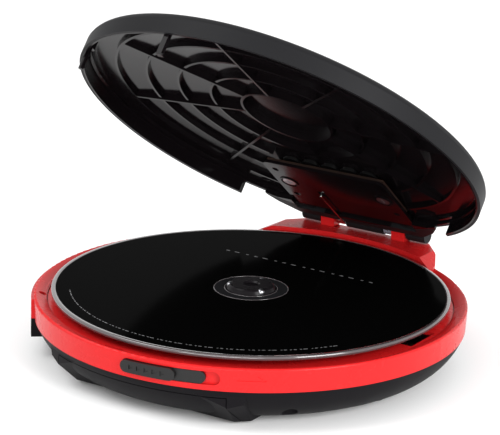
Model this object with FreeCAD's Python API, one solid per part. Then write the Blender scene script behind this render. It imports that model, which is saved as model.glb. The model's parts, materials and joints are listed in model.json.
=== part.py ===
"""Portable CD player with its lid open. Millimetres, +Z up, +X right, front at -Y, hinge at +Y.

The origin is on the spindle axis, in the plane of the rubber feet. Lid pieces are drawn closed
and then turned about the hinge pin to the open stop.
"""
import FreeCAD, Part
import math
import os

V = FreeCAD.Vector
UP = V(0, 0, 1)
ALONG_X = V(1, 0, 0)

# Compact disc (standard size) and its height above the feet
DISC_R = 60.0
DISC_BORE_R = 7.5
DISC_T = 1.2
DISC_TOP = 21.5
DISC_LOW = DISC_TOP - DISC_T

# Base: black bowl below, red ring above
WALL = 1.6
CASE_LOW = 0.9              # underside of the bowl, above the feet's plane
FLOOR_R = 50.5              # where the flat underside turns up
SPLIT_Z = 12.7              # seam between bowl and ring
RING_R = 65.0
CREASE_Z = 19.7             # top outer edge of the ring
WELL_R = 61.2
DISH_Z = 18.4               # the ring's top slopes down to this at the well
LEDGE_LOW = 15.7
DECK_LOW = 16.9
DECK_T = 1.2
DECK_R = WELL_R - 0.2
LEDGE_R = 59.6

# Slanted ends of the hinge block, as (x, z) corners of what is cut away
BLOCK_END_SLOPE = [(27.0, 22.9), (37.0, 22.9), (37.0, 18.3)]

# Side block that carries the sockets and the volume wheel
BLOCK_R = 66.0
BLOCK_FROM, BLOCK_TO = 155.0, 220.0
BLOCK_LOW = 6.9
BLOCK_TOP = 18.7
SOCKET_Z = 9.8
SOCKET_HOLE_R = 2.75
SOCKET_R = 2.6
PHONES_Y = -2.0
PHONES_BORE_R = 1.8
POWER_Y = 14.0
POWER_BORE_R = 2.1
POWER_PIN_R = 0.75
SOCKET_DEPTH = 14.0
WHEEL_R = 7.0
WHEEL_ANGLE = 197.0
WHEEL_AT = 59.9             # distance of the wheel's axis from the spindle
WHEEL_LOW, WHEEL_TOP = 13.6, 15.4
HOLD_Y = 8.0
HOLD_TRAVEL = 3.0

# Battery bay for two AA cells side by side, under the front of the disc
BAY_HALF_X = 29.2
BAY_FRONT, BAY_BACK = -49.4, -19.0
BAY_TOP = 16.6
BAY_WALL = 1.2
DOOR_HALF_X = 28.9
DOOR_TOP = 10.2
DOOR_GAP = 0.25
BOX_FRONT_LOW, BOX_FRONT_TOP = -50.3, -62.5

# Hinge
HINGE_Y, HINGE_Z = 68.5, 25.5
OPEN_DEG = 39.2
PIN_R = 1.0
KNUCKLE_R = 2.5
BARREL_R = 2.4
LID_KNUCKLE = (16.0, 22.8)
BASE_KNUCKLE = (10.7, 15.6)
BARREL = (-6.3, 7.2)
HINGE_BLOCK_TOP = 22.7

# Lid, drawn closed
LID_R = 64.3
LID_LOW = 20.6
LID_RIDGE = 25.4
LID_WALL = 1.4
DOME_R, DOME_Z, DOME_TOP = 61.6, 27.7, 31.6
RIB_RADII = (14.6, 24.6, 35.0, 45.0, 54.6)
RIB_T = 0.8
COVER_HALF_X = 22.0
COVER_FRONT, COVER_BACK = 30.0, 62.0
COVER_LOW, COVER_T = 24.5, 1.0
COVER_SCREWS = ((-17.2, 43.0), (17.2, 43.0))
BUTTON_XS = (-14.0, -7.0, 0.0, 7.0, 14.0)
BUTTON_NAMES = ("skip_back", "skip_forward", "play_pause", "stop", "mode")
BUTTON_Y = 35.0
BUTTON_R = 2.5
HOOK_X, HOOK_Y, HOOK_LOW = -8.0, -61.6, 14.3
SENSE_PIN = (-51.0, -36.2)
SENSE_PIN_LOW = 16.5

# Open slider in the front wall; its slot runs round the ring
SLOT_FROM, SLOT_TO = -91.0, -64.6
SLOT_Z = 16.3
SLOT_HALF_H = 2.0
SLOT_FLOOR_R = 63.9
SLIDER_TRAVEL_DEG = 3.4
SLIDER_GAP = 0.18
GRIP_R, TONGUE_R = 66.2, 65.0
LATCH_R = 63.1

# Disc drive
CHASSIS_LOW, CHASSIS_T = 10.2, 1.2
ROD_Y, ROD_Z, ROD_R = 12.5, 14.2, 1.0
LENS_X = 24.0
RACK_MODULE = 0.5
PINION_TEETH = 12
WHEEL_MODULE = 0.4
WHEEL_TEETH = 36
MOTOR_TEETH = 10
RACK_PITCH_Y = 16.0
GEAR_X = 25.0
GEAR_Y = RACK_PITCH_Y + RACK_MODULE * PINION_TEETH / 2
MOTOR_BEARING = 45.0        # direction from the drive gear to the motor gear
PLATTER_R = 15.5
HUB_R = 7.4
HUB_TOP = 23.0
BOARD_LOW, BOARD_T = 3.6, 1.2
POSTS = ((-15.0, -12.5), (-15.0, 17.0), (51.0, -12.5), (49.0, 18.0))
CASE_SCREW_R = 58.5
CASE_SCREW_ANGLES = (40.0, 140.0, 226.0, 314.0)
BOARD_SCREWS = ((-38.0, 8.0), (38.0, 6.0), (0.0, 46.0))
PILOT_R = 0.93
FEET = ((-36.5, -26.0), (36.5, -26.0), (-30.0, 35.0), (30.0, 35.0))


def on_circle(radius, degrees, z=0.0):
    a = math.radians(degrees)
    return V(radius * math.cos(a), radius * math.sin(a), z)


def box(x0, x1, y0, y1, z0, z1):
    return Part.makeBox(x1 - x0, y1 - y0, z1 - z0, V(x0, y0, z0))


def rod(radius, start, end):
    """A round bar from one point to another."""
    way = end.sub(start)
    return Part.makeCylinder(radius, way.Length, start, way)


def upright(radius, x, y, z0, z1):
    return rod(radius, V(x, y, z0), V(x, y, z1))


def ring(outer, inner, z0, z1):
    return upright(outer, 0, 0, z0, z1).cut(upright(inner, 0, 0, z0 - 1, z1 + 1))


def sector(inner, outer, start, end, z0, z1):
    """Part of a flat ring between two angles."""
    pieces = []
    for radius in (inner, outer):
        piece = Part.makeCylinder(radius, z1 - z0, V(0, 0, z0), UP, end - start)
        piece.rotate(V(0, 0, 0), UP, start)
        pieces.append(piece)
    return pieces[1].cut(pieces[0])


def outline(steps):
    """A closed wire in the XZ plane; a step is a point, or (via, end) for an arc."""
    here = steps[0]
    edges = []
    for step in list(steps[1:]) + [steps[0]]:
        if isinstance(step[0], tuple):
            via, end = step
            arc = Part.Arc(V(here[0], 0, here[1]), V(via[0], 0, via[1]), V(end[0], 0, end[1]))
            edges.append(arc.toShape())
        else:
            end = step
            edges.append(Part.LineSegment(V(here[0], 0, here[1]), V(end[0], 0, end[1])).toShape())
        here = end
    return Part.Wire(edges)


def turned(steps):
    """A body of revolution about the spindle axis from an outline of (radius, height) steps."""
    solid = Part.Face(outline(steps)).revolve(V(0, 0, 0), UP, 360)
    return solid if solid.ShapeType == "Solid" else Part.Solid(solid)


def prism(points, z0, z1):
    """An upright prism on a plan given by (x, y) points."""
    wire = Part.makePolygon([V(x, y, z0) for x, y in points] + [V(points[0][0], points[0][1], z0)])
    return Part.Face(wire).extrude(V(0, 0, z1 - z0))


def joined(shapes):
    first, rest = shapes[0], shapes[1:]
    return first.fuse(rest).removeSplitter() if rest else first


def mirrored(points):
    """Completes a plan that is symmetric about the YZ plane, from its right half."""
    return list(points) + [(-x, y) for x, y in reversed(points)]


def helix(radius, wire_r, turns, pitch, start, axis):
    """A closed coil whose axis leaves `start` along `axis`."""
    steps = 12
    course = Part.BSplineCurve()
    points = [on_circle(radius, 360 * i / steps, pitch * i / steps) for i in range(turns * steps + 1)]
    course.interpolate(points)
    circle = Part.Circle(V(radius, 0, 0), course.tangent(course.FirstParameter)[0], wire_r)
    coil = Part.Wire(course.toShape()).makePipeShell([Part.Wire(circle.toShape())], True, True)
    coil.Placement = FreeCAD.Placement(start, FreeCAD.Rotation(UP, axis))
    return coil


def opened(shape):
    """Turns a piece that is drawn on the closed lid to the lid's open stop."""
    shape.rotate(V(0, HINGE_Y, HINGE_Z), ALONG_X, -OPEN_DEG)
    return shape


def rear_plan(grow=0.0):
    """Plan of the raised block that carries the hinge."""
    right = [(34.0 + grow, 50.0), (32.0 + grow, 57.0), (29.0 + grow, 62.6), (22.8, 70.0 + grow)]
    return mirrored([(x, y) for x, y in right])


# ---------------------------------------------------------------- base


def bowl(inset=0.0):
    """The round lower shell as a solid, or its hollow when inset by the wall."""
    top_r = RING_R - 0.3 - inset
    low = CASE_LOW + inset
    floor_r = FLOOR_R - 0.4 * inset
    bend = (60.7 - 0.8 * inset, 6.1 + 0.6 * inset)
    return turned([(0, low), (floor_r, low), (bend, (top_r, SPLIT_Z - 0.2)), (top_r, SPLIT_Z), (0, SPLIT_Z)])


def battery_box(inset=0.0):
    """The squared front of the shell around the battery bay."""
    sections = []
    for z, half_x, front in ((CASE_LOW + inset, 31.0, BOX_FRONT_LOW), (SPLIT_Z, 34.5, BOX_FRONT_TOP)):
        x, y = half_x - inset, front + inset
        corner = 3.5 - 0.5 * inset
        plan = mirrored([(x, BAY_BACK), (x, y + corner), (x - corner, y)])
        points = [V(px, py, z) for px, py in plan]
        sections.append(Part.makePolygon(points + [points[0]]))
    shape = Part.makeLoft(sections, True, True)
    return shape.common(upright(RING_R - 0.9 - inset, 0, 0, 0, SPLIT_Z))


def rear_foot(inset=0.0):
    """The part of the shell below the hinge block."""
    plan = rear_plan(-inset)
    low = 8.2 + inset
    small = [(x * 0.96, y - 4.0) for x, y in plan]
    lofted = Part.makeLoft([Part.makePolygon([V(x, y, low) for x, y in small + small[:1]]),
                            Part.makePolygon([V(x, y, SPLIT_Z) for x, y in plan + plan[:1]])], True, True)
    return lofted


def socket_hole(y):
    return rod(SOCKET_HOLE_R, V(-70, y, SOCKET_Z), V(-50, y, SOCKET_Z))


def lower_shell():
    """Bowl, battery box, side block and rear foot in one hollow shell."""
    side = sector(58.0, BLOCK_R, BLOCK_FROM, BLOCK_TO, BLOCK_LOW, SPLIT_Z)
    side_hollow = sector(50.0, BLOCK_R - WALL, BLOCK_FROM + 1.5, BLOCK_TO - 1.5, BLOCK_LOW + 1.4, SPLIT_Z + 1)
    outside = joined([bowl(), battery_box(), rear_foot(), side])
    hollow = [bowl(WALL), battery_box(1.4), rear_foot(WALL), side_hollow]
    return outside.cut(hollow)


def door_space(gap):
    return box(-DOOR_HALF_X - gap, DOOR_HALF_X + gap, -70, BAY_BACK + gap, 0, DOOR_TOP + gap)


def battery_door():
    """Floor and front of the battery box; it pulls out towards the front."""
    door = lower_shell().common(door_space(0))
    pull = [box(-8 + 2.2 * i, -7.2 + 2.2 * i, -36, -28, 0, CASE_LOW + 0.35) for i in range(8)]
    return door.cut(pull)


def lower_case():
    shell = lower_shell().cut(door_space(DOOR_GAP))
    adds = []
    for side in (-1, 1):
        x0, x1 = sorted((side * BAY_HALF_X, side * (BAY_HALF_X + BAY_WALL)))
        adds.append(box(x0, x1, BAY_FRONT + 0.4, BAY_BACK + 0.3, 2.8, BAY_TOP))
        adds.append(box(x0, x1, BAY_FRONT - BAY_WALL, BAY_FRONT + 0.5, 5.0, BAY_TOP))
    bay_x = BAY_HALF_X + BAY_WALL
    adds.append(box(-bay_x, bay_x, BAY_BACK + 0.3, BAY_BACK + 0.3 + BAY_WALL, 1.5, BAY_TOP))
    adds.append(box(-bay_x, bay_x, BAY_FRONT - BAY_WALL, BAY_FRONT, 10.6, SPLIT_Z))
    for x, y in POSTS:
        adds.append(upright(1.5, x, y, 2.0, CHASSIS_LOW + 1.9))
        adds.append(upright(2.6, x, y, 2.0, CHASSIS_LOW - 1.3))
    for x, y in BOARD_SCREWS:
        adds.append(upright(2.4, x, y, 1.6, BOARD_LOW))
    for angle in CASE_SCREW_ANGLES:
        at = on_circle(CASE_SCREW_R, angle)
        adds.append(upright(3.1, at.x, at.y, 6.3, 9.4).common(bowl()))
    holes = [socket_hole(PHONES_Y), socket_hole(POWER_Y)]
    for angle in CASE_SCREW_ANGLES:
        at = on_circle(CASE_SCREW_R, angle)
        holes.append(upright(1.3, at.x, at.y, 0, 12))
        holes.append(upright(2.3, at.x, at.y, 0, 8.2))
    for x, y in FEET:
        holes.append(upright(4.1, x, y, 0, CASE_LOW + 0.4))
    for x, y in BOARD_SCREWS:
        holes.append(upright(PILOT_R, x, y, 1.3, 5))
    for i in range(5):
        holes.append(box(-9.0, 9.0, 8.0 + 3 * i, 9.0 + 3 * i, 0, CASE_LOW + 0.3))
    return joined([shell] + adds).cut(holes)


def wall_slot(start, end, inner, outer, half_h):
    """A round-ended bar that follows the ring's wall between two angles."""
    shift = math.degrees(half_h / RING_R)
    bar = sector(inner, outer, start + shift, end - shift, SLOT_Z - half_h, SLOT_Z + half_h)
    ends = [rod(half_h, on_circle(inner, a, SLOT_Z), on_circle(outer, a, SLOT_Z))
            for a in (start + shift, end - shift)]
    return joined([bar] + ends).common(ring(outer - 0.001, inner + 0.001, 0, 30))


def knuckle(span, radius):
    return rod(radius, V(span[0], HINGE_Y, HINGE_Z), V(span[1], HINGE_Y, HINGE_Z))


def both_sides(span):
    return span, (-span[1], -span[0])


def engraved_arrow():
    """A plain arrow beside the slider that shows which way it moves."""
    depth_r = RING_R - 0.1
    shaft = sector(depth_r, RING_R + 2, -60.5, -53.5, SLOT_Z - 0.25, SLOT_Z + 0.25)
    barb = box(depth_r, RING_R + 2, -0.25, 2.4, -0.25, 0.25)
    barb.rotate(V(0, 0, 0), ALONG_X, 145)
    barb.translate(V(0, 0, SLOT_Z))
    barb.rotate(V(0, 0, 0), UP, -53.5)
    return joined([shaft, barb])


def upper_case():
    """Red ring: outer wall, dished top, well, side block, hinge block and its knuckles."""
    round_part = turned([(RING_R - 0.1, SPLIT_Z), (RING_R + 0.2, CREASE_Z - 0.6),
                         ((RING_R + 0.02, CREASE_Z - 0.15), (RING_R - 0.5, CREASE_Z)),
                         (WELL_R, DISH_Z), (WELL_R, DECK_LOW), (LEDGE_R, DECK_LOW), (LEDGE_R, LEDGE_LOW),
                         (RING_R - 1.7, LEDGE_LOW), (RING_R - 1.7, SPLIT_Z)])
    side = sector(WELL_R + 0.4, BLOCK_R, BLOCK_FROM, BLOCK_TO, LEDGE_LOW, BLOCK_TOP)
    skirt = sector(BLOCK_R - WALL, BLOCK_R, BLOCK_FROM, BLOCK_TO, SPLIT_Z, LEDGE_LOW)
    ends = [sector(RING_R - 1.0, BLOCK_R, a, a + 1.2, SPLIT_Z, LEDGE_LOW)
            for a in (BLOCK_FROM, BLOCK_TO - 1.2)]
    rear = prism(rear_plan(), SPLIT_Z, HINGE_BLOCK_TOP)
    edges = [e for e in rear.Edges
             if abs(e.BoundBox.ZMin - HINGE_BLOCK_TOP) < 0.01 and e.BoundBox.YMax > 51]
    rear = rear.makeFillet(0.6, edges)
    for way in (-1, 1):
        slope = Part.makePolygon([V(way * x, 45, z) for x, z in BLOCK_END_SLOPE + BLOCK_END_SLOPE[:1]])
        rear = rear.cut(Part.Face(slope).extrude(V(0, 40, 0)))
    rear = rear.cut(upright(WELL_R, 0, 0, 0, 30))
    rear = rear.cut(prism(rear_plan(-1.8), SPLIT_Z - 1, LEDGE_LOW).cut(upright(WELL_R + 0.6, 0, 0, 0, 30)))
    arms = []
    for span in both_sides(BASE_KNUCKLE):
        arms.append(knuckle(span, KNUCKLE_R))
        arms.append(box(span[0], span[1], HINGE_Y - 2.4, HINGE_Y + 1.4, HINGE_BLOCK_TOP - 1, HINGE_Z))
    bosses = []
    for angle in CASE_SCREW_ANGLES:
        at = on_circle(CASE_SCREW_R, angle)
        bosses.append(upright(2.6, at.x, at.y, 9.6, DECK_LOW - 0.6))
    body = joined([round_part, side, skirt, rear] + ends + arms + bosses)
    wheel_at = on_circle(WHEEL_AT, WHEEL_ANGLE)
    cuts = [wall_slot(SLOT_FROM, SLOT_TO, SLOT_FLOOR_R, RING_R + 2, SLOT_HALF_H),
            sector(58.0, SLOT_FLOOR_R + 0.5, SLOT_FROM + 6, SLOT_FROM + 21, 14.4, 15.6),
            sector(WELL_R - 0.6, 64.0, -101.4, -92.9, 17.6, 21),
            box(HOOK_X - 2.5, HOOK_X + 3.4, HOOK_Y - 1.2, HOOK_Y + 1.2, 12, 20),
            upright(1.15, SENSE_PIN[0], SENSE_PIN[1], 12, 20),
            upright(WHEEL_R + 0.3, wheel_at.x, wheel_at.y, WHEEL_LOW - 0.2, WHEEL_TOP + 0.2),
            box(-68, -61, HOLD_Y - 3.7, HOLD_Y + 3.7, 13.4, 15.5),
            rod(PIN_R, V(-30, HINGE_Y, HINGE_Z), V(30, HINGE_Y, HINGE_Z)),
            box(-11.6, -9.8, 66.2, 69.8, 20.7, HINGE_BLOCK_TOP + 0.1),
            engraved_arrow()]
    for angle in CASE_SCREW_ANGLES:
        at = on_circle(CASE_SCREW_R, angle)
        cuts.append(upright(0.97, at.x, at.y, 9, 15.4))
    return body.cut(cuts)


def deck():
    """Black floor of the disc well, open over the turntable and the pickup."""
    plate = upright(DECK_R, 0, 0, DECK_LOW, DECK_LOW + DECK_T)
    lip = ring(19.6, 18.4, DECK_LOW, DECK_LOW + DECK_T + 0.5)
    opening = [upright(18.4, 0, 0, 0, 30), box(14, 59.4, -7.2, 7.2, 0, 30)]
    grooves = [sector(r, r + 0.8, 25, 335, DECK_LOW + 0.7, 30) for r in (30.0, 44.0)]
    hook_gap = box(HOOK_X - 3.0, HOOK_X + 4.0, HOOK_Y - 2, HOOK_Y + 2, 0, 30)
    screws = []
    for angle in CASE_SCREW_ANGLES:
        at = on_circle(CASE_SCREW_R, angle)
        screws.append(upright(2.7, at.x, at.y, 0, DECK_LOW + 0.01))
    return joined([plate, lip]).cut(opening + grooves + [hook_gap] + screws)


def rubber_feet():
    feet = []
    for x, y in FEET:
        foot = upright(3.9, x, y, 0, CASE_LOW + 0.4)
        feet.append(foot.makeFillet(0.35, [foot.Edges[2]]))
    return Part.makeCompound(feet)


def screw(at, way, head_r, shank_r, length, head_t=1.1):
    """A cross-head screw whose head's face is at `at` and whose shank points along `way`."""
    head = Part.makeCylinder(head_r, head_t, at, way)
    shank = Part.makeCylinder(shank_r, length, at + way * head_t, way)
    side = way.cross(ALONG_X if abs(way.x) < 0.9 else UP)
    side.normalize()
    other = way.cross(side)
    slots = []
    for axis in (side, other):
        slot = Part.makeBox(2 * head_r * 0.62, 0.45, 0.8 * head_t)
        slot.translate(V(-head_r * 0.62, -0.225, -0.3))
        slot.Placement = FreeCAD.Placement(at, FreeCAD.Rotation(axis, way.cross(axis), way, "ZXY")).multiply(
            slot.Placement)
        slots.append(slot)
    return joined([head, shank]).cut(slots)


def case_screws():
    made = []
    for angle in CASE_SCREW_ANGLES:
        at = on_circle(CASE_SCREW_R, angle, 7.05)
        made.append(screw(at, UP, 2.1, 0.95, 6.6))
    return Part.makeCompound(made)


# ---------------------------------------------------------------- battery contacts and electronics


def battery_springs():
    springs = []
    for y in (-41.8, -26.6):
        springs.append(helix(2.9, 0.34, 4, 1.12, V(-BAY_HALF_X + 1.02, y, 9.4), ALONG_X))
        springs.append(box(-BAY_HALF_X + 0.05, -BAY_HALF_X + 0.65, y - 4.6, y + 4.6, 4.6, 14.2))
    return Part.makeCompound(springs)


def battery_plates():
    x = BAY_HALF_X
    pieces = []
    for y in (-41.8, -26.6):
        plate = box(x - 0.55, x - 0.05, y - 4.6, y + 4.6, 4.6, 14.2)
        dimple = Part.makeCone(2.2, 1.2, 0.6, V(x - 0.5, y, 9.4), V(-1, 0, 0))
        pieces.append(joined([plate, dimple]))
    return Part.makeCompound(pieces)


def main_board():
    plate = upright(52.0, 0, 0, BOARD_LOW, BOARD_LOW + BOARD_T)
    plate = plate.cut(box(-60, 60, -60, BAY_BACK + 2.2, 0, 10))
    holes = [upright(2.8, x, y, 0, 10) for x, y in POSTS]
    holes += [upright(1.0, x, y, 0, 10) for x, y in BOARD_SCREWS]
    return plate.cut(holes)


def board_chips():
    top = BOARD_LOW + BOARD_T
    sizes = ((-30, 22, 14, 14, 1.6), (-8, 30, 10, 10, 1.4), (12, 38, 7, 5, 1.2), (-26, -5, 8, 5, 1.5),
             (28, -8, 9, 6, 1.5), (-38, 32, 5, 4, 1.2), (16, 17, 6, 4, 1.0))
    return Part.makeCompound([box(x - w / 2, x + w / 2, y - d / 2, y + d / 2, top, top + h)
                              for x, y, w, d, h in sizes])


def board_capacitors():
    top = BOARD_LOW + BOARD_T
    cans = []
    for x, y, r, h in ((-42, -6, 3.1, 6.5), (-33, -12.5, 2.5, 5.5), (-20, 41, 3.1, 6.5), (14, 47, 2.5, 5.0)):
        can = upright(r, x, y, top, top + h)
        groove = upright(r + 1, x, y, top + 0.9, top + 1.3).cut(upright(r - 0.2, x, y, top, top + 2))
        cans.append(can.cut(groove))
    return Part.makeCompound(cans)


def board_screws():
    top = BOARD_LOW + BOARD_T
    return Part.makeCompound([screw(V(x, y, top + 1.1), V(0, 0, -1), 1.9, 0.9, 2.6)
                              for x, y in BOARD_SCREWS])


def side_socket(y, bore_r, pin_r):
    """A socket body behind a round nose that fills its hole in the side block."""
    face_x = -math.sqrt(BLOCK_R ** 2 - y ** 2) + 0.3
    inner_x = -math.sqrt((BLOCK_R - WALL) ** 2 - (abs(y) + 3.4) ** 2) + 0.3
    nose = rod(SOCKET_R, V(face_x, y, SOCKET_Z), V(inner_x + 1, y, SOCKET_Z))
    body = box(inner_x, inner_x + SOCKET_DEPTH, y - 3.4, y + 3.4, SOCKET_Z - 1.3, SOCKET_Z + 2.6)
    body = joined([nose, body])
    socket = body.cut(rod(bore_r, V(face_x - 1, y, SOCKET_Z), V(face_x + SOCKET_DEPTH - 2.5, y, SOCKET_Z)))
    if pin_r:
        pin = rod(pin_r, V(face_x + 2.0, y, SOCKET_Z), V(face_x + SOCKET_DEPTH - 2.0, y, SOCKET_Z))
        socket = joined([socket, pin])
    return socket


def volume_wheel():
    at = on_circle(WHEEL_AT, WHEEL_ANGLE)
    wheel = upright(WHEEL_R, at.x, at.y, WHEEL_LOW, WHEEL_TOP)
    notches = []
    count = 36
    for i in range(count):
        a = 2 * math.pi * i / count
        x, y = at.x + (WHEEL_R + 0.12) * math.cos(a), at.y + (WHEEL_R + 0.12) * math.sin(a)
        notches.append(upright(0.32, x, y, WHEEL_LOW - 1, WHEEL_TOP + 1))
    hub = upright(1.2, at.x, at.y, 11.6, WHEEL_LOW + 0.5)
    return joined([wheel.cut(notches), hub])


def volume_pot():
    at = on_circle(WHEEL_AT, WHEEL_ANGLE)
    can = upright(3.2, at.x, at.y, 9.0, 13.1)
    return can.cut(upright(1.26, at.x, at.y, 11.3, 14))


def hold_knob():
    y = HOLD_Y - HOLD_TRAVEL / 2
    knob = box(-66.5, -62.6, y - 1.9, y + 1.9, 13.65, 15.25)
    ridges = [box(-67, -66.2, y - 1.4 + 0.8 * i, y - 1.1 + 0.8 * i, 13, 16) for i in range(4)]
    return knob.cut(ridges)


def hold_switch_body():
    return box(-61.8, -57.5, HOLD_Y - 4, HOLD_Y + 4, 13.0, 15.5)


def lid_switch():
    x, y = SENSE_PIN
    body = box(x - 1.3, x + 2.8, y - 1.1, y + 2.9, 8.6, 12.6)
    return body.cut(upright(0.95, x, y, 9.6, 14))


def lid_switch_plunger():
    x, y = SENSE_PIN
    return upright(0.85, x, y, 11.2, SENSE_PIN_LOW - 0.3)


# ---------------------------------------------------------------- open slider and latch


def open_slider():
    """Grip and tongue that lie in the front slot, with a stem to the latch plate."""
    half_h = SLOT_HALF_H - SLIDER_GAP
    inner = SLOT_FLOOR_R + 0.2
    stop = SLOT_TO - SLIDER_TRAVEL_DEG - 0.3
    start = SLOT_FROM + 0.2
    tongue = wall_slot(start, stop, inner, TONGUE_R, half_h)
    grip = wall_slot(start, SLOT_FROM + 15.2, inner, GRIP_R, half_h)
    stem = sector(LATCH_R, inner + 0.3, SLOT_FROM + 7, SLOT_FROM + 17, 14.6, 15.4)
    marks = []
    for i in range(5):
        corners = [V(0, -0.7, -0.7), V(0, 0.7, 0), V(0, -0.7, 0.7)]
        mark = Part.Face(Part.makePolygon(corners + corners[:1])).extrude(V(1.0, 0, 0))
        mark.translate(V(GRIP_R - 0.25, 0, SLOT_Z))
        mark.rotate(V(0, 0, 0), UP, SLOT_FROM + 3.4 + 2.15 * i)
        marks.append(mark)
    return joined([tongue, grip, stem]).cut(marks)


def latch_plate():
    """Flat catch behind the ring's wall; its window holds the lid's hook."""
    plate = sector(58.6, LATCH_R, -108.0, -70.0, 14.9, 15.5)
    window = sector(60.2, LATCH_R + 1, -103.4, -96.5, 14, 16)
    return plate.cut(window)


def slider_spring():
    """Coil that draws the latch plate back, laid along the wall beside it."""
    start = on_circle(60.9, -109.6, 14.2)
    way = on_circle(60.9, -124.0, 14.2).sub(start)
    way.normalize()
    return helix(0.85, 0.2, 12, 1.2, start, way)


# ---------------------------------------------------------------- disc drive


def chassis():
    plan = [(-19, -16.8), (54.5, -16.8), (54.5, 21.5), (40, 21.5),
            (38, 32.5), (25, 32.5), (23, 23), (-19, 23)]
    plate = prism(plan, CHASSIS_LOW, CHASSIS_LOW + CHASSIS_T)
    top = CHASSIS_LOW + CHASSIS_T
    blocks = []
    for x0 in (-3.4, 55.2):
        for y in (-ROD_Y, ROD_Y):
            blocks.append(box(x0, x0 + 2.6, y - 1.5, y + 1.5, CHASSIS_LOW, ROD_Z + 1.7))
    bridge = box(54.4, 56.5, -14.3, 14.3, CHASSIS_LOW, top)
    cuts = [upright(3.0, 0, 0, 0, 30), box(32, 49, -9, 9, 0, 30), box(-12, -6, 4, 14, 0, 30)]
    cuts += [upright(1.9, x, y, 0, 30) for x, y in POSTS]
    motor = motor_gear_at()
    cuts += [upright(0.95, GEAR_X, GEAR_Y, 0, 30), upright(1.6, motor.x, motor.y, 0, 30)]
    cuts += [rod(ROD_R, V(-2.4, y, ROD_Z), V(56.8, y, ROD_Z)) for y in (-ROD_Y, ROD_Y)]
    return joined([plate, bridge] + blocks).cut(cuts)


def damper_grommets():
    made = []
    for x, y in POSTS:
        grommet = upright(3.4, x, y, CHASSIS_LOW - 1.2, CHASSIS_LOW - 0.02)
        made.append(grommet.cut(upright(1.55, x, y, 0, 30)))
    return Part.makeCompound(made)


def guide_rods():
    return Part.makeCompound([rod(ROD_R, V(-2.4, y, ROD_Z), V(56.8, y, ROD_Z)) for y in (-ROD_Y, ROD_Y)])


def spindle_motor():
    can = upright(10.5, 0, 0, 5.6, CHASSIS_LOW)
    can = can.makeFillet(0.8, [can.Edges[2]])
    neck = upright(2.9, 0, 0, CHASSIS_LOW, CHASSIS_LOW + 1.4)
    return joined([can, neck]).cut(upright(1.05, 0, 0, 6.6, 20))


def turntable():
    """Motor shaft, platter and the centring hub that carries the disc."""
    shaft = upright(1.0, 0, 0, 6.9, 14)
    post = upright(4.0, 0, 0, 12.2, DISC_LOW - 1.2)
    platter = upright(PLATTER_R, 0, 0, DISC_LOW - 1.4, DISC_LOW)
    hub = turned([(0, DISC_LOW - 1), (HUB_R, DISC_LOW - 1), (HUB_R, DISC_TOP + 0.1), (6.9, HUB_TOP - 0.35),
                  (6.5, HUB_TOP), (2.6, HUB_TOP), (2.2, HUB_TOP - 0.5), (0, HUB_TOP - 0.5)])
    body = joined([shaft, post, platter, hub])
    groove = ring(14.6, 9.2, DISC_LOW - 0.35, DISC_LOW + 0.4)
    pockets = [Part.makeSphere(1.22, on_circle(6.3, a, 22.1)) for a in (90, 210, 330)]
    return body.cut([groove] + pockets)


def platter_pad():
    return ring(14.5, 9.3, DISC_LOW - 0.34, DISC_LOW - 0.02)


def chuck_balls():
    return Part.makeCompound([Part.makeSphere(1.13, on_circle(6.3, a, 22.1)) for a in (90, 210, 330)])


def compact_disc():
    disc = turned([(DISC_BORE_R, DISC_LOW), (DISC_R - 0.25, DISC_LOW), (DISC_R, DISC_LOW + 0.25),
                   (DISC_R, DISC_TOP - 0.25), (DISC_R - 0.25, DISC_TOP), (DISC_BORE_R, DISC_TOP)])
    moulding = ring(11.35, 11.1, DISC_TOP - 0.12, DISC_TOP + 1)
    return disc.cut(moulding)


def gear(module, teeth, z0, z1, centre, phase):
    """A spur gear with straight-sided teeth; `phase` turns a tooth's middle to that angle."""
    pitch_r = module * teeth / 2
    root_r = pitch_r - 1.15 * module
    tip_r = pitch_r + 0.8 * module
    points = []
    step = 2 * math.pi / teeth
    for i in range(teeth):
        middle = math.radians(phase) + i * step
        for radius, share in ((root_r, -0.33), (pitch_r, -0.21), (tip_r, -0.09),
                              (tip_r, 0.09), (pitch_r, 0.21), (root_r, 0.33)):
            a = middle + share * step
            points.append((centre[0] + radius * math.cos(a), centre[1] + radius * math.sin(a)))
    return prism(points, z0, z1)


def motor_gear_at():
    reach = WHEEL_MODULE * (WHEEL_TEETH + MOTOR_TEETH) / 2
    way = on_circle(reach, MOTOR_BEARING)
    return V(GEAR_X + way.x, GEAR_Y + way.y, 0)


def drive_gear():
    """Large wheel on the motor side and a pinion above it that drives the rack."""
    centre = (GEAR_X, GEAR_Y)
    wheel = gear(WHEEL_MODULE, WHEEL_TEETH, 11.6, 12.5, centre, MOTOR_BEARING)
    pinion = gear(RACK_MODULE, PINION_TEETH, 12.4, 14.4, centre, -90.0)
    axle = upright(0.9, GEAR_X, GEAR_Y, CHASSIS_LOW + 0.1, 15.0)
    return joined([wheel, pinion, axle])


def motor_gear():
    at = motor_gear_at()
    phase = MOTOR_BEARING + 180 + 180.0 / MOTOR_TEETH
    pinion = gear(WHEEL_MODULE, MOTOR_TEETH, 11.5, 12.7, (at.x, at.y), phase)
    return joined([pinion, upright(0.75, at.x, at.y, 5.6, 11.6)])


def sled_motor():
    at = motor_gear_at()
    can = upright(5.6, at.x, at.y, 5.0, CHASSIS_LOW)
    return can.cut(upright(0.8, at.x, at.y, 5.5, 20))


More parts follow.
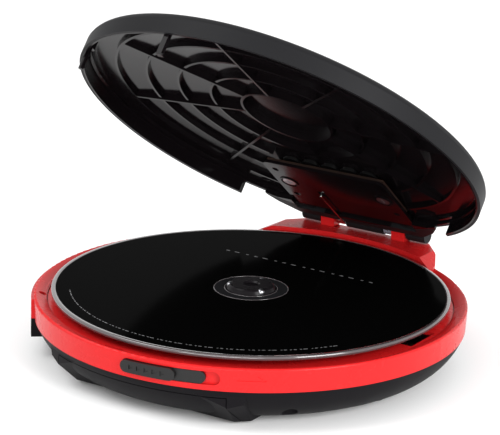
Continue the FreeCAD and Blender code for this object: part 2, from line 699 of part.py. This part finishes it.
def rack():
    """Toothed bar on the sled; a gap faces the pinion's middle tooth."""
    pitch = math.pi * RACK_MODULE
    first = GEAR_X - pitch * 21.5
    points = [(first - 0.5 * pitch, 14.3)]
    count = 23
    for i in range(count):
        x = first + i * pitch
        for dx, dy in ((-0.33, -1.15), (-0.21, 0), (-0.09, 0.8), (0.09, 0.8), (0.21, 0), (0.33, -1.15)):
            points.append((x + dx * pitch, RACK_PITCH_Y + dy * RACK_MODULE))
    points.append((first + (count - 0.5) * pitch, 14.3))
    return prism(points, 13.0, 14.4)


def pickup_sled():
    low = 12.8
    body = box(12.0, 22.0, -14.4, 14.4, low, 16.4)
    nose = box(21.5, 27.0, -5.6, 5.6, low, 16.4)
    head = box(18.6, 27.0, -5.6, 5.6, 16.3, 18.4)
    cuts = [rod(ROD_R + 0.05, V(0, y, ROD_Z), V(60, y, ROD_Z)) for y in (-ROD_Y, ROD_Y)]
    cuts.append(upright(3.2, LENS_X - 1.0, 0, 16.8, 30))
    cuts.append(box(10, 16, -9, 9, 14.4, 20))
    return joined([body, nose, head, rack()]).cut(cuts)


def lens_holder():
    at = LENS_X - 1.0
    holder = upright(2.8, at, 0, 17.3, 18.9)
    return holder.cut(upright(1.95, at, 0, 18.0, 20))


def objective_lens():
    at = LENS_X - 1.0
    barrel = upright(1.9, at, 0, 18.02, 18.7)
    cap = Part.makeSphere(2.6, V(at, 0, 16.55)).common(upright(1.6, at, 0, 18.5, 20))
    return joined([barrel, cap])


# ---------------------------------------------------------------- lid


def dome_z(radius, drop=0.0):
    """Height of the closed lid's outer surface, or of its offset `drop` below it."""
    sphere = (DOME_R ** 2 + (DOME_TOP - DOME_Z) ** 2) / (2 * (DOME_TOP - DOME_Z))
    return DOME_TOP - sphere + math.sqrt((sphere - drop) ** 2 - radius ** 2)


def lid_solid(inset=0.0):
    """The closed lid as a solid, or its hollow when inset by the wall."""
    low = LID_LOW if not inset else LID_LOW - 1
    half = DOME_R / 2
    edge = DOME_R - 0.5 * inset
    return turned([(0, low), (LID_R - inset, low), (LID_R - inset, LID_RIDGE - 0.3 * inset),
                   ((63.4 - 0.9 * inset, 26.9 - 0.75 * inset), (edge, dome_z(edge, inset))),
                   ((half, dome_z(half, inset)), (0, DOME_TOP - inset))])


def rib_edge(radius):
    """Height of the ribs' lower edge."""
    return dome_z(radius) - LID_WALL - 1.3 - 0.9 * (1 - radius / RIB_RADII[-1])


def rib_root(radius):
    """Height to which the ribs reach into the dome's wall."""
    return dome_z(radius) - LID_WALL + 0.5


def lid_ribs():
    ribs = []
    half_t = RIB_T / 2
    for radius in RIB_RADII:
        ribs.append(ring(radius + half_t, radius - half_t, rib_edge(radius), rib_root(radius)))
    inner, outer = RIB_RADII[0], RIB_RADII[-1]
    blade = outline([(inner, rib_edge(inner)), (outer, rib_edge(outer)),
                     (outer, rib_root(outer)), (inner, rib_root(inner))])
    for i in range(8):
        rib = Part.Face(blade).extrude(V(0, RIB_T, 0))
        rib.translate(V(0, -RIB_T / 2, 0))
        rib.rotate(V(0, 0, 0), UP, 45 * i)
        ribs.append(rib)
    space = box(-COVER_HALF_X - 0.6, COVER_HALF_X + 0.6, COVER_FRONT - 0.6, 70, 0, 40)
    return joined(ribs).cut(space)


def lid_tongue():
    """The rear of the lid between its round part and the hinge."""
    plan = mirrored([(32.0, 50.0), (31.2, 56.0), (28.6, 60.2), (22.8, 65.7)])
    top = prism(plan, 23.6, 27.5)
    inside = [box(-COVER_HALF_X - 0.2, COVER_HALF_X + 0.2, 40, COVER_BACK + 0.2, 20, 26.2),
              box(-COVER_HALF_X - 0.2, COVER_HALF_X + 0.2, 40, 54.0, 20, 27.0),
              box(-7.9, -6.3, COVER_BACK, 67, 20, 24.5)]
    arms = []
    spans = list(both_sides(LID_KNUCKLE)) + [BARREL]
    for span in spans:
        radius = BARREL_R if span == BARREL else KNUCKLE_R
        arms.append(knuckle(span, radius))
        arms.append(box(span[0], span[1], 64.5, HINGE_Y, HINGE_Z - 1.2, HINGE_Z + 1.9))
    return top.cut(inside), arms


def hook():
    stem = box(HOOK_X - 0.9, HOOK_X + 0.7, HOOK_Y - 0.8, HOOK_Y + 0.8, HOOK_LOW, 26.2)
    corners = [V(HOOK_X + x, 0, HOOK_LOW + z) for x, z in ((0.6, 0), (1.0, 0), (1.7, 0.35), (0.6, 0.45))]
    nose = Part.Face(Part.makePolygon(corners + corners[:1])).extrude(V(0, 1.6, 0))
    nose.translate(V(0, HOOK_Y - 0.8, 0))
    return joined([stem, nose])


def button_hole(x):
    return upright(BUTTON_R + 0.3, x, BUTTON_Y, 20, 40)


def window_space(gap):
    return box(-12.5 - gap, 12.5 + gap, 40.0 - gap, 48.0 + gap, 20, 40)


def lid_shell():
    shell = lid_solid().cut(lid_solid(LID_WALL))
    shell = shell.cut(box(-38.0, 38.0, 40, 80, 0, 24.6).cut(upright(61.5, 0, 0, 0, 40)))
    tongue, arms = lid_tongue()
    roof_gap = lid_solid(LID_WALL).common(box(-50, 50, 0, 56.5, 0, 26.2))
    tongue = tongue.cut(roof_gap)
    bosses = [upright(2.5, x, y, COVER_LOW + COVER_T, dome_z(46.3) - LID_WALL + 0.4) for x, y in COVER_SCREWS]
    sense = upright(0.8, SENSE_PIN[0], SENSE_PIN[1], SENSE_PIN_LOW, 26.0)
    foot = upright(1.6, SENSE_PIN[0], SENSE_PIN[1], 23.5, 26.3).common(lid_solid())
    shade = ring(62.0, 61.2, 25.3, 26.6)
    cover_space = box(-COVER_HALF_X - 0.2, COVER_HALF_X + 0.2, COVER_FRONT - 0.3, COVER_BACK + 0.2, 0, 25.8)
    body = joined([shell, tongue, lid_ribs(), shade]).cut(cover_space)
    body = joined([body, hook(), sense, foot] + arms + bosses)
    cuts = [button_hole(x) for x in BUTTON_XS] + [window_space(0)]
    cuts.append(rod(PIN_R + 0.06, V(-22.6, HINGE_Y, HINGE_Z), V(22.6, HINGE_Y, HINGE_Z)))
    cuts += [upright(PILOT_R, x, y, 20, 28.3) for x, y in COVER_SCREWS]
    cuts.append(upright(13.6, 0, 0, 0, dome_z(0) - LID_WALL + 0.35).cut(upright(2.2, 0, -11.2, 0, 40)))
    top_rings = ring(30.6, 30.2, dome_z(30.2) - 0.3, 40).cut(box(-40, 40, 27, 80, 0, 50))
    cuts.append(top_rings)
    return body.cut(cuts)


def control_cover():
    """Plate over the lid's circuit board, with a slot for the spring's leg."""
    r = 2.5
    x, y0, y1 = COVER_HALF_X, COVER_FRONT, COVER_BACK
    plate = box(-x, x, y0, y1, COVER_LOW, COVER_LOW + COVER_T)
    front = [e for e in plate.Edges if e.BoundBox.ZLength > 0.5 and e.BoundBox.YMax < y0 + 0.1]
    plate = plate.makeFillet(r, front)
    sink = [Part.makeCone(3.0, 2.4, 0.6, V(px, py, COVER_LOW), UP) for px, py in COVER_SCREWS]
    rims = [upright(3.2, px, py, COVER_LOW - 0.3, COVER_LOW + 0.1).cut(upright(2.7, px, py, 0, 40))
            for px, py in COVER_SCREWS]
    holes = [upright(1.15, px, py, 0, 40) for px, py in COVER_SCREWS]
    slot = box(-8.4, -6.4, 46.4, 49.6, 0, 40)
    relief = [box(s[0] - 0.4, s[1] + 0.4, 60.5, 70, 0, 40) for s in both_sides(BASE_KNUCKLE)]
    dimples = [Part.makeSphere(2.0, V(px, py, COVER_LOW - 1.6)) for px, py in ((-18.4, 34.5), (-18.4, 52.0),
                                                                              (18.4, 34.5), (18.4, 52.0))]
    return joined([plate] + rims).cut(sink + holes + [slot] + relief + dimples)


def cover_screws():
    made = [screw(V(x, y, COVER_LOW - 0.1), UP, 2.2, 0.9, 2.6, 0.7) for x, y in COVER_SCREWS]
    return Part.makeCompound(made)


def control_board():
    plate = box(-21.0, 21.0, 31.5, 53.0, 26.0, 26.8)
    return plate.cut([upright(2.8, x, y, 0, 40) for x, y in COVER_SCREWS])


def button_switches():
    return Part.makeCompound([upright(1.5, x, BUTTON_Y, 26.8, 27.3) for x in BUTTON_XS])


def lcd_module():
    return box(-13.6, 13.6, 39.2, 48.8, 26.82, 27.4)


def lcd_window():
    return lid_solid().cut(lid_solid(1.2)).common(window_space(-0.12))


def lid_button(x):
    """A round key with a flange inside the lid and a dished top."""
    top = dome_z(math.hypot(x, BUTTON_Y)) + 0.45
    stem = upright(BUTTON_R, x, BUTTON_Y, 28.0, top)
    rim = [e for e in stem.Edges if abs(e.BoundBox.ZMin - top) < 0.01 and e.BoundBox.ZLength < 0.01]
    stem = stem.makeFillet(0.3, rim)
    flange = upright(BUTTON_R + 0.65, x, BUTTON_Y, 28.0, 28.35)
    dish = Part.makeSphere(12.0, V(x, BUTTON_Y, top + 11.85))
    return joined([stem, flange]).cut(dish)


# ---------------------------------------------------------------- hinge hardware


def hinge_pins():
    left = rod(PIN_R, V(-22.4, HINGE_Y, HINGE_Z), V(-4.6, HINGE_Y, HINGE_Z))
    right = rod(PIN_R, V(5.5, HINGE_Y, HINGE_Z), V(22.4, HINGE_Y, HINGE_Z))
    return Part.makeCompound([left, right])


def hinge_spring():
    """Torsion spring on the left pin, with a leg that reaches into the cover's slot."""
    wire_r, coil_r = 0.28, 1.62
    coil = helix(coil_r, wire_r, 5, 0.62, V(-10.3, HINGE_Y, HINGE_Z), ALONG_X)
    leg_z = COVER_LOW - 0.75
    corner = V(-7.1, 62.0, leg_z)
    tip = V(-7.4, 48.2, leg_z)
    start = V(-7.2, HINGE_Y, HINGE_Z - coil_r)
    run = [rod(wire_r, start, corner), rod(wire_r, corner, tip), rod(wire_r, tip, tip + V(0, 0, 1.4))]
    run += [Part.makeSphere(wire_r, at) for at in (start, corner, tip)]
    return coil, joined(run)


def hinge_wires():
    """Wires wound round the right pin where they cross from the base to the lid."""
    return Part.makeCompound([Part.makeTorus(1.75, 0.36, V(7.75 + 0.78 * i, HINGE_Y, HINGE_Z), ALONG_X)
                              for i in range(4)])


def write(name, shape):
    os.makedirs("parts", exist_ok=True)
    solids = shape.Solids
    if not shape.isValid() or not solids:
        print("CHECK", name, "valid", shape.isValid(), "solids", len(solids))
    print(name, len(solids), "solids", round(shape.Volume, 1), "mm3")
    shape.exportStep("parts/%s.step" % name)


BASE = {
    "lower_case": lower_case, "upper_case": upper_case, "deck": deck, "rubber_feet": rubber_feet,
    "case_screws": case_screws, "battery_door": battery_door, "battery_springs": battery_springs,
    "battery_plates": battery_plates, "main_board": main_board, "board_chips": board_chips,
    "board_capacitors": board_capacitors, "board_screws": board_screws, "volume_wheel": volume_wheel,
    "volume_pot": volume_pot, "hold_knob": hold_knob, "hold_switch_body": hold_switch_body,
    "lid_switch": lid_switch, "lid_switch_plunger": lid_switch_plunger, "open_slider": open_slider,
    "latch_plate": latch_plate, "slider_spring": slider_spring, "drive_chassis": chassis,
    "damper_grommets": damper_grommets,
    "guide_rods": guide_rods, "spindle_motor": spindle_motor, "turntable": turntable,
    "platter_pad": platter_pad, "chuck_balls": chuck_balls, "compact_disc": compact_disc,
    "drive_gear": drive_gear, "motor_gear": motor_gear, "sled_motor": sled_motor,
    "pickup_sled": pickup_sled, "lens_holder": lens_holder, "objective_lens": objective_lens,
    "hinge_pins": hinge_pins,
}
LID = {
    "lid_shell": lid_shell, "control_cover": control_cover, "cover_screws": cover_screws,
    "control_board": control_board, "button_switches": button_switches, "lcd_module": lcd_module,
    "lcd_window": lcd_window, "hinge_wires": hinge_wires,
}


def main():
    for name, make in BASE.items():
        write(name, make())
    write("headphone_socket", side_socket(PHONES_Y, PHONES_BORE_R, 0))
    write("power_socket", side_socket(POWER_Y, POWER_BORE_R, POWER_PIN_R))
    for name, make in LID.items():
        write(name, opened(make()))
    coil, leg = hinge_spring()
    write("hinge_spring", opened(Part.makeCompound([coil, leg])))
    for name, x in zip(BUTTON_NAMES, BUTTON_XS):
        write(name + "_button", opened(lid_button(x)))


main()
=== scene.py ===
"""Looks of a round portable CD player: finishes, printed and moulded details, floor, light and camera.

Everything is in metres, in the frame of the CAD model: origin on the spindle axis at the feet's plane,
+X right, +Y to the hinge, +Z up.
"""
import json
import math

import bpy
from mathutils import Matrix, Vector


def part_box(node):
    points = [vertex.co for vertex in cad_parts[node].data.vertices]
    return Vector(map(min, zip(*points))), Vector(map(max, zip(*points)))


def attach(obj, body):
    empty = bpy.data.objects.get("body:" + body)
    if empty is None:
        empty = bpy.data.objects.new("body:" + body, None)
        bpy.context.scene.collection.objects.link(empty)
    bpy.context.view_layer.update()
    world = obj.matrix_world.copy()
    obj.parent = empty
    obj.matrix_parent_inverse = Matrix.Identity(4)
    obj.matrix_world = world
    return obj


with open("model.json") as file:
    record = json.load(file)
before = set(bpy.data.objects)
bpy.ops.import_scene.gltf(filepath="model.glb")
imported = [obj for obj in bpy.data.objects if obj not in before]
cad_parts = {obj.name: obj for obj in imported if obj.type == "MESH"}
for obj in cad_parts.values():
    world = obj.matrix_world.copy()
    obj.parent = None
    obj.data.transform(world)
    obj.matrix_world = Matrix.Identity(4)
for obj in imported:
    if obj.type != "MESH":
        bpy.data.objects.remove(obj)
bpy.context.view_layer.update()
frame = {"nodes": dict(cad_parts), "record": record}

MM = 0.001
disc_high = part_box("compact_disc")[1]
DISC_R = disc_high[0]
DISC_TOP = disc_high[2]
PRINT_INNER_R = 11.2 * MM
PRINT_OUTER_R = 58.7 * MM
HOLE_RIDGE_R = 8.0 * MM
SILVER_DEPTH = 1.1 * MM
HUES_PER_METRE = 18.0

# The lid: its shape tells its outer skin from its inner face, which is glossier
OPEN_ANGLE = math.radians(39.2)
HINGE = Vector((0, 68.5, 25.5)) * MM
DOME_TOP = 31.6 * MM
DOME_SPHERE = 488.4 * MM
HALF_WALL = 0.7 * MM
LID_RIM_R = 63.4 * MM
LID_INNER_ROUGHNESS = 0.14
LID_OUTER_ROUGHNESS = 0.5

# Camera: angles in degrees, distances in metres, aimed beside the disc's centre
CAMERA_AZIMUTH = 32.3
CAMERA_HEIGHT = 16.886
CAMERA_ROLL = 1.8145
CAMERA_DISTANCE = 0.72927
AIM_RIGHT = -0.000334
AIM_UP = 0.021229
LENS = 174.37

LIGHT_AIM = (0, 0, 0.02)


# ---------------------------------------------------------------- materials


class Finish:
    """A principled material that reads the piece's own coordinates."""

    def __init__(self, name, colour, roughness, metallic=0.0, coat=0.0, specular=0.5, ior=1.5):
        self.material = bpy.data.materials.new(name)
        self.material.use_nodes = True
        self.nodes = self.material.node_tree.nodes
        self.shader = self.nodes["Principled BSDF"]
        self.colour = (*colour, 1)
        self.set("Base Color", self.colour)
        self.set("Roughness", roughness)
        self.set("Metallic", metallic)
        self.set("Coat Weight", coat)
        self.set("IOR", ior)
        self.set("Specular IOR Level", specular)
        self.roughness = roughness
        self.place = self.node("ShaderNodeTexCoord").outputs["Object"]

    def node(self, kind, **values):
        made = self.nodes.new(kind)
        for key, value in values.items():
            setattr(made, key, value)
        return made

    def set(self, socket, value):
        self.shader.inputs[socket].default_value = value

    def link(self, source, target):
        self.material.node_tree.links.new(source, target)

    def math(self, operation, first, second=0.0, third=0.0):
        made = self.node("ShaderNodeMath", operation=operation)
        for socket, value in zip(made.inputs, (first, second, third)):
            if isinstance(value, (int, float)):
                socket.default_value = value
            else:
                self.link(value, socket)
        return made.outputs[0]

    def noise(self, size, detail=2.0):
        """Noise whose features are about `size` metres across."""
        made = self.node("ShaderNodeTexNoise")
        made.inputs["Scale"].default_value = 1 / size
        made.inputs["Detail"].default_value = detail
        self.link(self.place, made.inputs["Vector"])
        return made.outputs["Fac"]

    def spread(self, value, low, high):
        made = self.node("ShaderNodeMapRange")
        made.inputs["To Min"].default_value = low
        made.inputs["To Max"].default_value = high
        self.link(value, made.inputs["Value"])
        return made.outputs["Result"]

    def blend(self, share, first, second):
        made = self.node("ShaderNodeMix", data_type="RGBA")
        self.link(share, made.inputs["Factor"])
        for socket, value in ((made.inputs[6], first), (made.inputs[7], second)):
            if isinstance(value, tuple):
                socket.default_value = value
            else:
                self.link(value, socket)
        return made.outputs[2]

    def worn(self, size, amount):
        """Uneven gloss, as handled plastic and metal have."""
        least = self.roughness * (1 - amount)
        most = self.roughness * (1 + amount)
        self.link(self.spread(self.noise(size, 4.0), least, most), self.shader.inputs["Roughness"])
        return self

    def grained(self, size, height):
        """Fine moulded or cast grain as a bump."""
        bump = self.node("ShaderNodeBump")
        bump.inputs["Strength"].default_value = 1.0
        bump.inputs["Distance"].default_value = height
        self.link(self.noise(size, 3.0), bump.inputs["Height"])
        self.link(bump.outputs["Normal"], self.shader.inputs["Normal"])
        return self

    def mottled(self, size, share):
        """A faint drift of the colour."""
        darker = tuple(part * (1 - share) for part in self.colour[:3]) + (1,)
        self.link(self.blend(self.noise(size, 2.0), darker, self.colour), self.shader.inputs["Base Color"])
        return self


def plastic(name, colour, roughness, grain=0.35 * MM, height=0.012 * MM, coat=0.0, specular=0.5, ior=1.5):
    made = Finish(name, colour, roughness, coat=coat, specular=specular, ior=ior)
    return made.mottled(9 * MM, 0.06).worn(6 * MM, 0.12).grained(grain, height)


def metal(name, colour, roughness, grain=0.5 * MM):
    made = Finish(name, colour, roughness, metallic=1.0)
    return made.mottled(4 * MM, 0.08).worn(2 * MM, 0.3).grained(grain, 0.004 * MM)


def from_axis(finish):
    """Distance from the spindle axis."""
    parts = finish.node("ShaderNodeSeparateXYZ")
    finish.link(finish.place, parts.inputs[0])
    square = finish.math("MULTIPLY", parts.outputs["X"], parts.outputs["X"])
    total = finish.math("MULTIPLY_ADD", parts.outputs["Y"], parts.outputs["Y"], square)
    return finish.math("SQRT", total)


def band(finish, radius, low, high):
    """1 between two radii, 0 elsewhere."""
    above = finish.math("GREATER_THAN", radius, low)
    below = finish.math("LESS_THAN", radius, high)
    return finish.math("MULTIPLY", above, below)


def disc_finish():
    """Gloss black print on a clear disc with a silvered underside."""
    made = Finish("disc_print", (0.001, 0.001, 0.001), 0.12, specular=0.4, ior=1.025)
    radius = from_axis(made)
    parts = made.node("ShaderNodeSeparateXYZ")
    made.link(made.place, parts.inputs[0])
    under = made.math("LESS_THAN", parts.outputs["Z"], DISC_TOP - SILVER_DEPTH)
    printed = band(made, radius, PRINT_INNER_R, PRINT_OUTER_R)
    clear = (0.010, 0.010, 0.011, 1)
    top = made.blend(printed, clear, made.colour)
    hue = made.node("ShaderNodeValToRGB")
    hue.color_ramp.elements[0].color = (0.55, 0.60, 0.66, 1)
    hue.color_ramp.elements[1].color = (0.66, 0.60, 0.68, 1)
    made.link(made.spread(radius, 0.0, HUES_PER_METRE), hue.inputs["Fac"])
    made.link(made.blend(under, top, hue.outputs["Color"]), made.shader.inputs["Base Color"])
    made.link(made.math("MULTIPLY", under, 0.9), made.shader.inputs["Metallic"])
    return made.worn(5 * MM, 0.1)


def lid_finish():
    """Matt charcoal outside, gloss black inside, told apart by the middle of the dome's wall."""
    made = Finish("lid_plastic", (0.010, 0.010, 0.011), LID_OUTER_ROUGHNESS, specular=0.35, ior=1.22)
    turn = made.node("ShaderNodeVectorRotate", rotation_type="X_AXIS")
    made.link(made.place, turn.inputs["Vector"])
    turn.inputs["Center"].default_value = HINGE
    turn.inputs["Angle"].default_value = OPEN_ANGLE
    parts = made.node("ShaderNodeSeparateXYZ")
    made.link(turn.outputs["Vector"], parts.inputs[0])
    square = made.math("MULTIPLY", parts.outputs["X"], parts.outputs["X"])
    total = made.math("MULTIPLY_ADD", parts.outputs["Y"], parts.outputs["Y"], square)
    skin = made.math("MULTIPLY_ADD", total, -0.5 / DOME_SPHERE, DOME_TOP - HALF_WALL)
    above = made.math("GREATER_THAN", parts.outputs["Z"], skin)
    beyond = made.math("GREATER_THAN", made.math("SQRT", total), LID_RIM_R)
    outer = made.math("MAXIMUM", above, beyond)
    rough = made.math("MULTIPLY_ADD", outer, LID_OUTER_ROUGHNESS - LID_INNER_ROUGHNESS, LID_INNER_ROUGHNESS)
    wear = made.spread(made.noise(7 * MM, 3.0), -0.02, 0.02)
    made.link(made.math("ADD", rough, wear), made.shader.inputs["Roughness"])
    inner = (0.004, 0.003, 0.0035, 1)
    made.link(made.blend(outer, inner, made.colour), made.shader.inputs["Base Color"])
    bump = made.node("ShaderNodeBump")
    bump.inputs["Strength"].default_value = 1.0
    bump.inputs["Distance"].default_value = 0.014 * MM
    made.link(made.math("MULTIPLY", made.noise(0.4 * MM, 3.0), outer), bump.inputs["Height"])
    made.link(bump.outputs["Normal"], made.shader.inputs["Normal"])
    return made


def window_finish():
    made = Finish("smoked_window", (0.02, 0.025, 0.022), 0.08, coat=0.5)
    return made.worn(5 * MM, 0.2).grained(3 * MM, 0.002 * MM)


def rubber_finish(name, colour):
    made = Finish(name, colour, 0.75, specular=0.3)
    return made.mottled(3 * MM, 0.15).worn(1 * MM, 0.1).grained(0.3 * MM, 0.02 * MM)


def lens_finish():
    made = Finish("coated_lens", (0.09, 0.05, 0.16), 0.05, coat=1.0)
    return made.worn(1 * MM, 0.2).grained(1 * MM, 0.0005 * MM)


FINISHES = {
    "black_shell": plastic(
        "charcoal_shell", (0.0045, 0.004, 0.005), 0.5, height=0.010 * MM, specular=0.3, ior=1.2
    ),
    "red_ring": plastic("red_gloss", (0.52, 0.011, 0.012), 0.27, grain=1.2 * MM, height=0.002 * MM, ior=1.26),
    "deck_black": plastic("deck_plastic", (0.012, 0.012, 0.012), 0.35),
    "foot_rubber": rubber_finish("foot_rubber", (0.012, 0.012, 0.012)),
    "screw_steel": metal("screw_steel", (0.42, 0.42, 0.44), 0.32),
    "spring_steel": metal("bright_spring", (0.82, 0.80, 0.76), 0.22),
    "contact_metal": metal("nickel_contact", (0.72, 0.70, 0.66), 0.28),
    "board_green": plastic("board_green", (0.01, 0.09, 0.035), 0.38, grain=0.8 * MM),
    "chip_black": plastic("chip_epoxy", (0.012, 0.012, 0.013), 0.55),
    "capacitor": plastic("capacitor_sleeve", (0.02, 0.03, 0.09), 0.3),
    "motor_metal": metal("motor_can", (0.58, 0.58, 0.6), 0.3),
    "control_black": plastic("control_black", (0.006, 0.006, 0.006), 0.38, height=0.006 * MM, specular=0.3),
    "turntable_black": plastic("hub_black", (0.006, 0.005, 0.006), 0.25, height=0.004 * MM, ior=1.2),
    "disc_black": disc_finish(),
    "gear_white": plastic("gear_acetal", (0.62, 0.61, 0.57), 0.42, height=0.006 * MM),
    "lens_glass": lens_finish(),
    "lid_black": lid_finish(),
    "window_clear": window_finish(),
    "wire_grey": plastic("wire_sleeve", (0.20, 0.22, 0.26), 0.4, height=0.006 * MM),
}


# Nodes whose finish isn't that of the rest of their slot
OWN_FINISHES = {
    "control_board": plastic("phenolic_board", (0.03, 0.012, 0.006), 0.5),
    "latch_plate": FINISHES["control_black"],
}


def dress_nodes():
    """Gives each CAD node the finish of its slot in the record, or its own."""
    for part in frame["record"]["subparts"]:
        piece = frame["nodes"][part["node"]]
        finish = OWN_FINISHES.get(part["node"], FINISHES[part["material_slot"]])
        for index in range(len(piece.data.materials)):
            piece.data.materials[index] = finish.material


# ---------------------------------------------------------------- small pieces


def piece_from(name, verts, faces, finish, body, smooth=False):
    mesh = bpy.data.meshes.new(name)
    mesh.from_pydata(verts, [], faces)
    mesh.validate()
    mesh.update()
    if smooth:
        mesh.polygons.foreach_set("use_smooth", [True] * len(mesh.polygons))
    mesh.materials.append(finish.material)
    made = bpy.data.objects.new(name, mesh)
    bpy.context.scene.collection.objects.link(made)
    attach(made, body)
    return made


def turned_ring(name, profile, finish, body, steps=160):
    """A closed ring about the spindle axis, from its section as (radius, height) points."""
    verts = []
    faces = []
    count = len(profile)
    for i in range(steps):
        angle = 2 * math.pi * i / steps
        verts += [(r * math.cos(angle), r * math.sin(angle), z) for r, z in profile]
        for j in range(count):
            ahead = (i + 1) % steps
            beside = (j + 1) % count
            faces.append((i * count + j, ahead * count + j, ahead * count + beside, i * count + beside))
    return piece_from(name, verts, faces, finish, body, smooth=True)


def round_section(radius, height, wire, sides=10):
    turn = 2 * math.pi / sides
    return [(radius + wire * math.cos(turn * i), height + wire * math.sin(turn * i)) for i in range(sides)]


def disc_rings():
    """The clear ridge round the disc's edge and the two moulded rings near its hole, in a grey lighter than
    the disc's clear plastic: a painted highlight for the light the clear edge and the rings catch.
    """
    # Painted highlight: this grey is lighter than the disc's clear centre so that the clear edge and the two
    # rings show as light lines.
    clear = plastic("clear_edge_painted_glint", (0.055, 0.045, 0.047), 0.12, height=0.001 * MM, coat=1.0)
    section = (
        (-1.3, 0.0), (-1.25, 0.04), (-0.2, 0.04), (0.03, -0.2), (0.03, -1.0), (-0.2, -1.24), (-0.4, -0.6)
    )
    edge = [(DISC_R + out * MM, DISC_TOP + up * MM) for out, up in section]
    turned_ring("disc_clear_edge", edge, clear, "turntable")
    for name, radius in (("disc_inner_ridge", PRINT_INNER_R), ("disc_hole_ridge", HOLE_RIDGE_R)):
        section = round_section(radius, DISC_TOP - 0.02 * MM, 0.12 * MM)
        turned_ring(name, section, clear, "turntable", steps=96)


def print_marks():
    """Plain grey dashes where a disc carries its print: a curved row near the edge and a straight one."""
    grey = plastic("print_grey", (0.16, 0.16, 0.165), 0.5, height=0.001 * MM)
    low, high = DISC_TOP, DISC_TOP + 0.015 * MM
    verts = []
    faces = []

    def dash(centre, along, length, width):
        across = Vector((-along.y, along.x))
        first = len(verts)
        for z in (low, high):
            for a, b in ((-1, -1), (1, -1), (1, 1), (-1, 1)):
                corner = centre + along * (a * length / 2) + across * (b * width / 2)
                verts.append((corner.x, corner.y, z))
        faces.append(tuple(first + i for i in (3, 2, 1, 0)))
        faces.append(tuple(first + i for i in (4, 5, 6, 7)))
        for i in range(4):
            ahead = (i + 1) % 4
            faces.append((first + i, first + ahead, first + 4 + ahead, first + 4 + i))

    lengths = (0.5, 0.9, 0.6, 1.3, 0.4, 0.8)
    row_r = 54.5 * MM
    row_gap = 0.75 * MM
    row_width = 0.28 * MM
    angle = math.radians(-140)
    count = 0
    while angle < math.radians(-30):
        length = lengths[count % len(lengths)] * MM
        spot = Vector((math.cos(angle), math.sin(angle)))
        dash(spot * row_r, Vector((-spot.y, spot.x)), length, row_width)
        angle += (length + row_gap) / row_r
        count += 1
    line_lengths = (1.2, 1.7, 0.9)
    line_y = 27 * MM
    line_gap = 2.2 * MM
    line_width = 0.45 * MM
    at = -26 * MM
    for count in range(16):
        length = line_lengths[count % len(line_lengths)] * MM
        dash(Vector((at, line_y)), Vector((1, 0)), length, line_width)
        at += length + line_gap
    piece_from("disc_print_dashes", verts, faces, grey, "turntable")


# ---------------------------------------------------------------- floor, light and camera


def floor():
    bpy.ops.mesh.primitive_plane_add(size=6, location=(0, 0, 0))
    made = bpy.context.object
    made.name = "floor"
    pale = Finish("pale_floor", (0.92, 0.92, 0.92), 0.7, specular=0.2)
    made.data.materials.append(pale.material)


def area_light(name, place, width, height, power):
    data = bpy.data.lights.new(name, "AREA")
    data.shape = "RECTANGLE"
    data.size = width
    data.size_y = height
    data.energy = power
    made = bpy.data.objects.new(name, data)
    bpy.context.scene.collection.objects.link(made)
    made.location = place
    made.rotation_euler = (Vector(LIGHT_AIM) - Vector(place)).to_track_quat("-Z", "Y").to_euler()


def lights():
    world = bpy.data.worlds.new("studio")
    bpy.context.scene.world = world
    world.use_nodes = True
    backdrop = world.node_tree.nodes["Background"]
    backdrop.inputs["Color"].default_value = (1, 1, 1, 1)
    backdrop.inputs["Strength"].default_value = 0.95
    area_light("key", (-0.5, -0.55, 0.85), width=0.6, height=0.6, power=6)
    area_light("right_side", (0.75, -0.25, 0.35), width=0.4, height=0.4, power=7)
    area_light("front_strip", (0.25, -0.8, 0.12), width=0.7, height=0.05, power=2.5)


def camera():
    azimuth = math.radians(CAMERA_AZIMUTH)
    height = math.radians(CAMERA_HEIGHT)
    roll = math.radians(CAMERA_ROLL)
    flat = math.cos(height)
    back = Vector((math.sin(azimuth) * flat, -math.cos(azimuth) * flat, math.sin(height)))
    level = Vector((math.cos(azimuth), math.sin(azimuth), 0))
    above = back.cross(level)
    right = level * math.cos(roll) + above * math.sin(roll)
    up = above * math.cos(roll) - level * math.sin(roll)
    place = Vector((0, 0, DISC_TOP)) + right * AIM_RIGHT + up * AIM_UP + back * CAMERA_DISTANCE
    data = bpy.data.cameras.new("camera")
    data.lens = LENS
    data.sensor_width = 36
    data.sensor_fit = "HORIZONTAL"
    data.clip_start = 0.01
    made = bpy.data.objects.new("camera", data)
    bpy.context.scene.collection.objects.link(made)
    made.matrix_world = Matrix.Translation(place) @ Matrix((right, up, back)).transposed().to_4x4()
    bpy.context.scene.camera = made


dress_nodes()
disc_rings()
print_marks()
floor()
lights()
camera()
bpy.context.scene.view_settings.view_transform = "Standard"
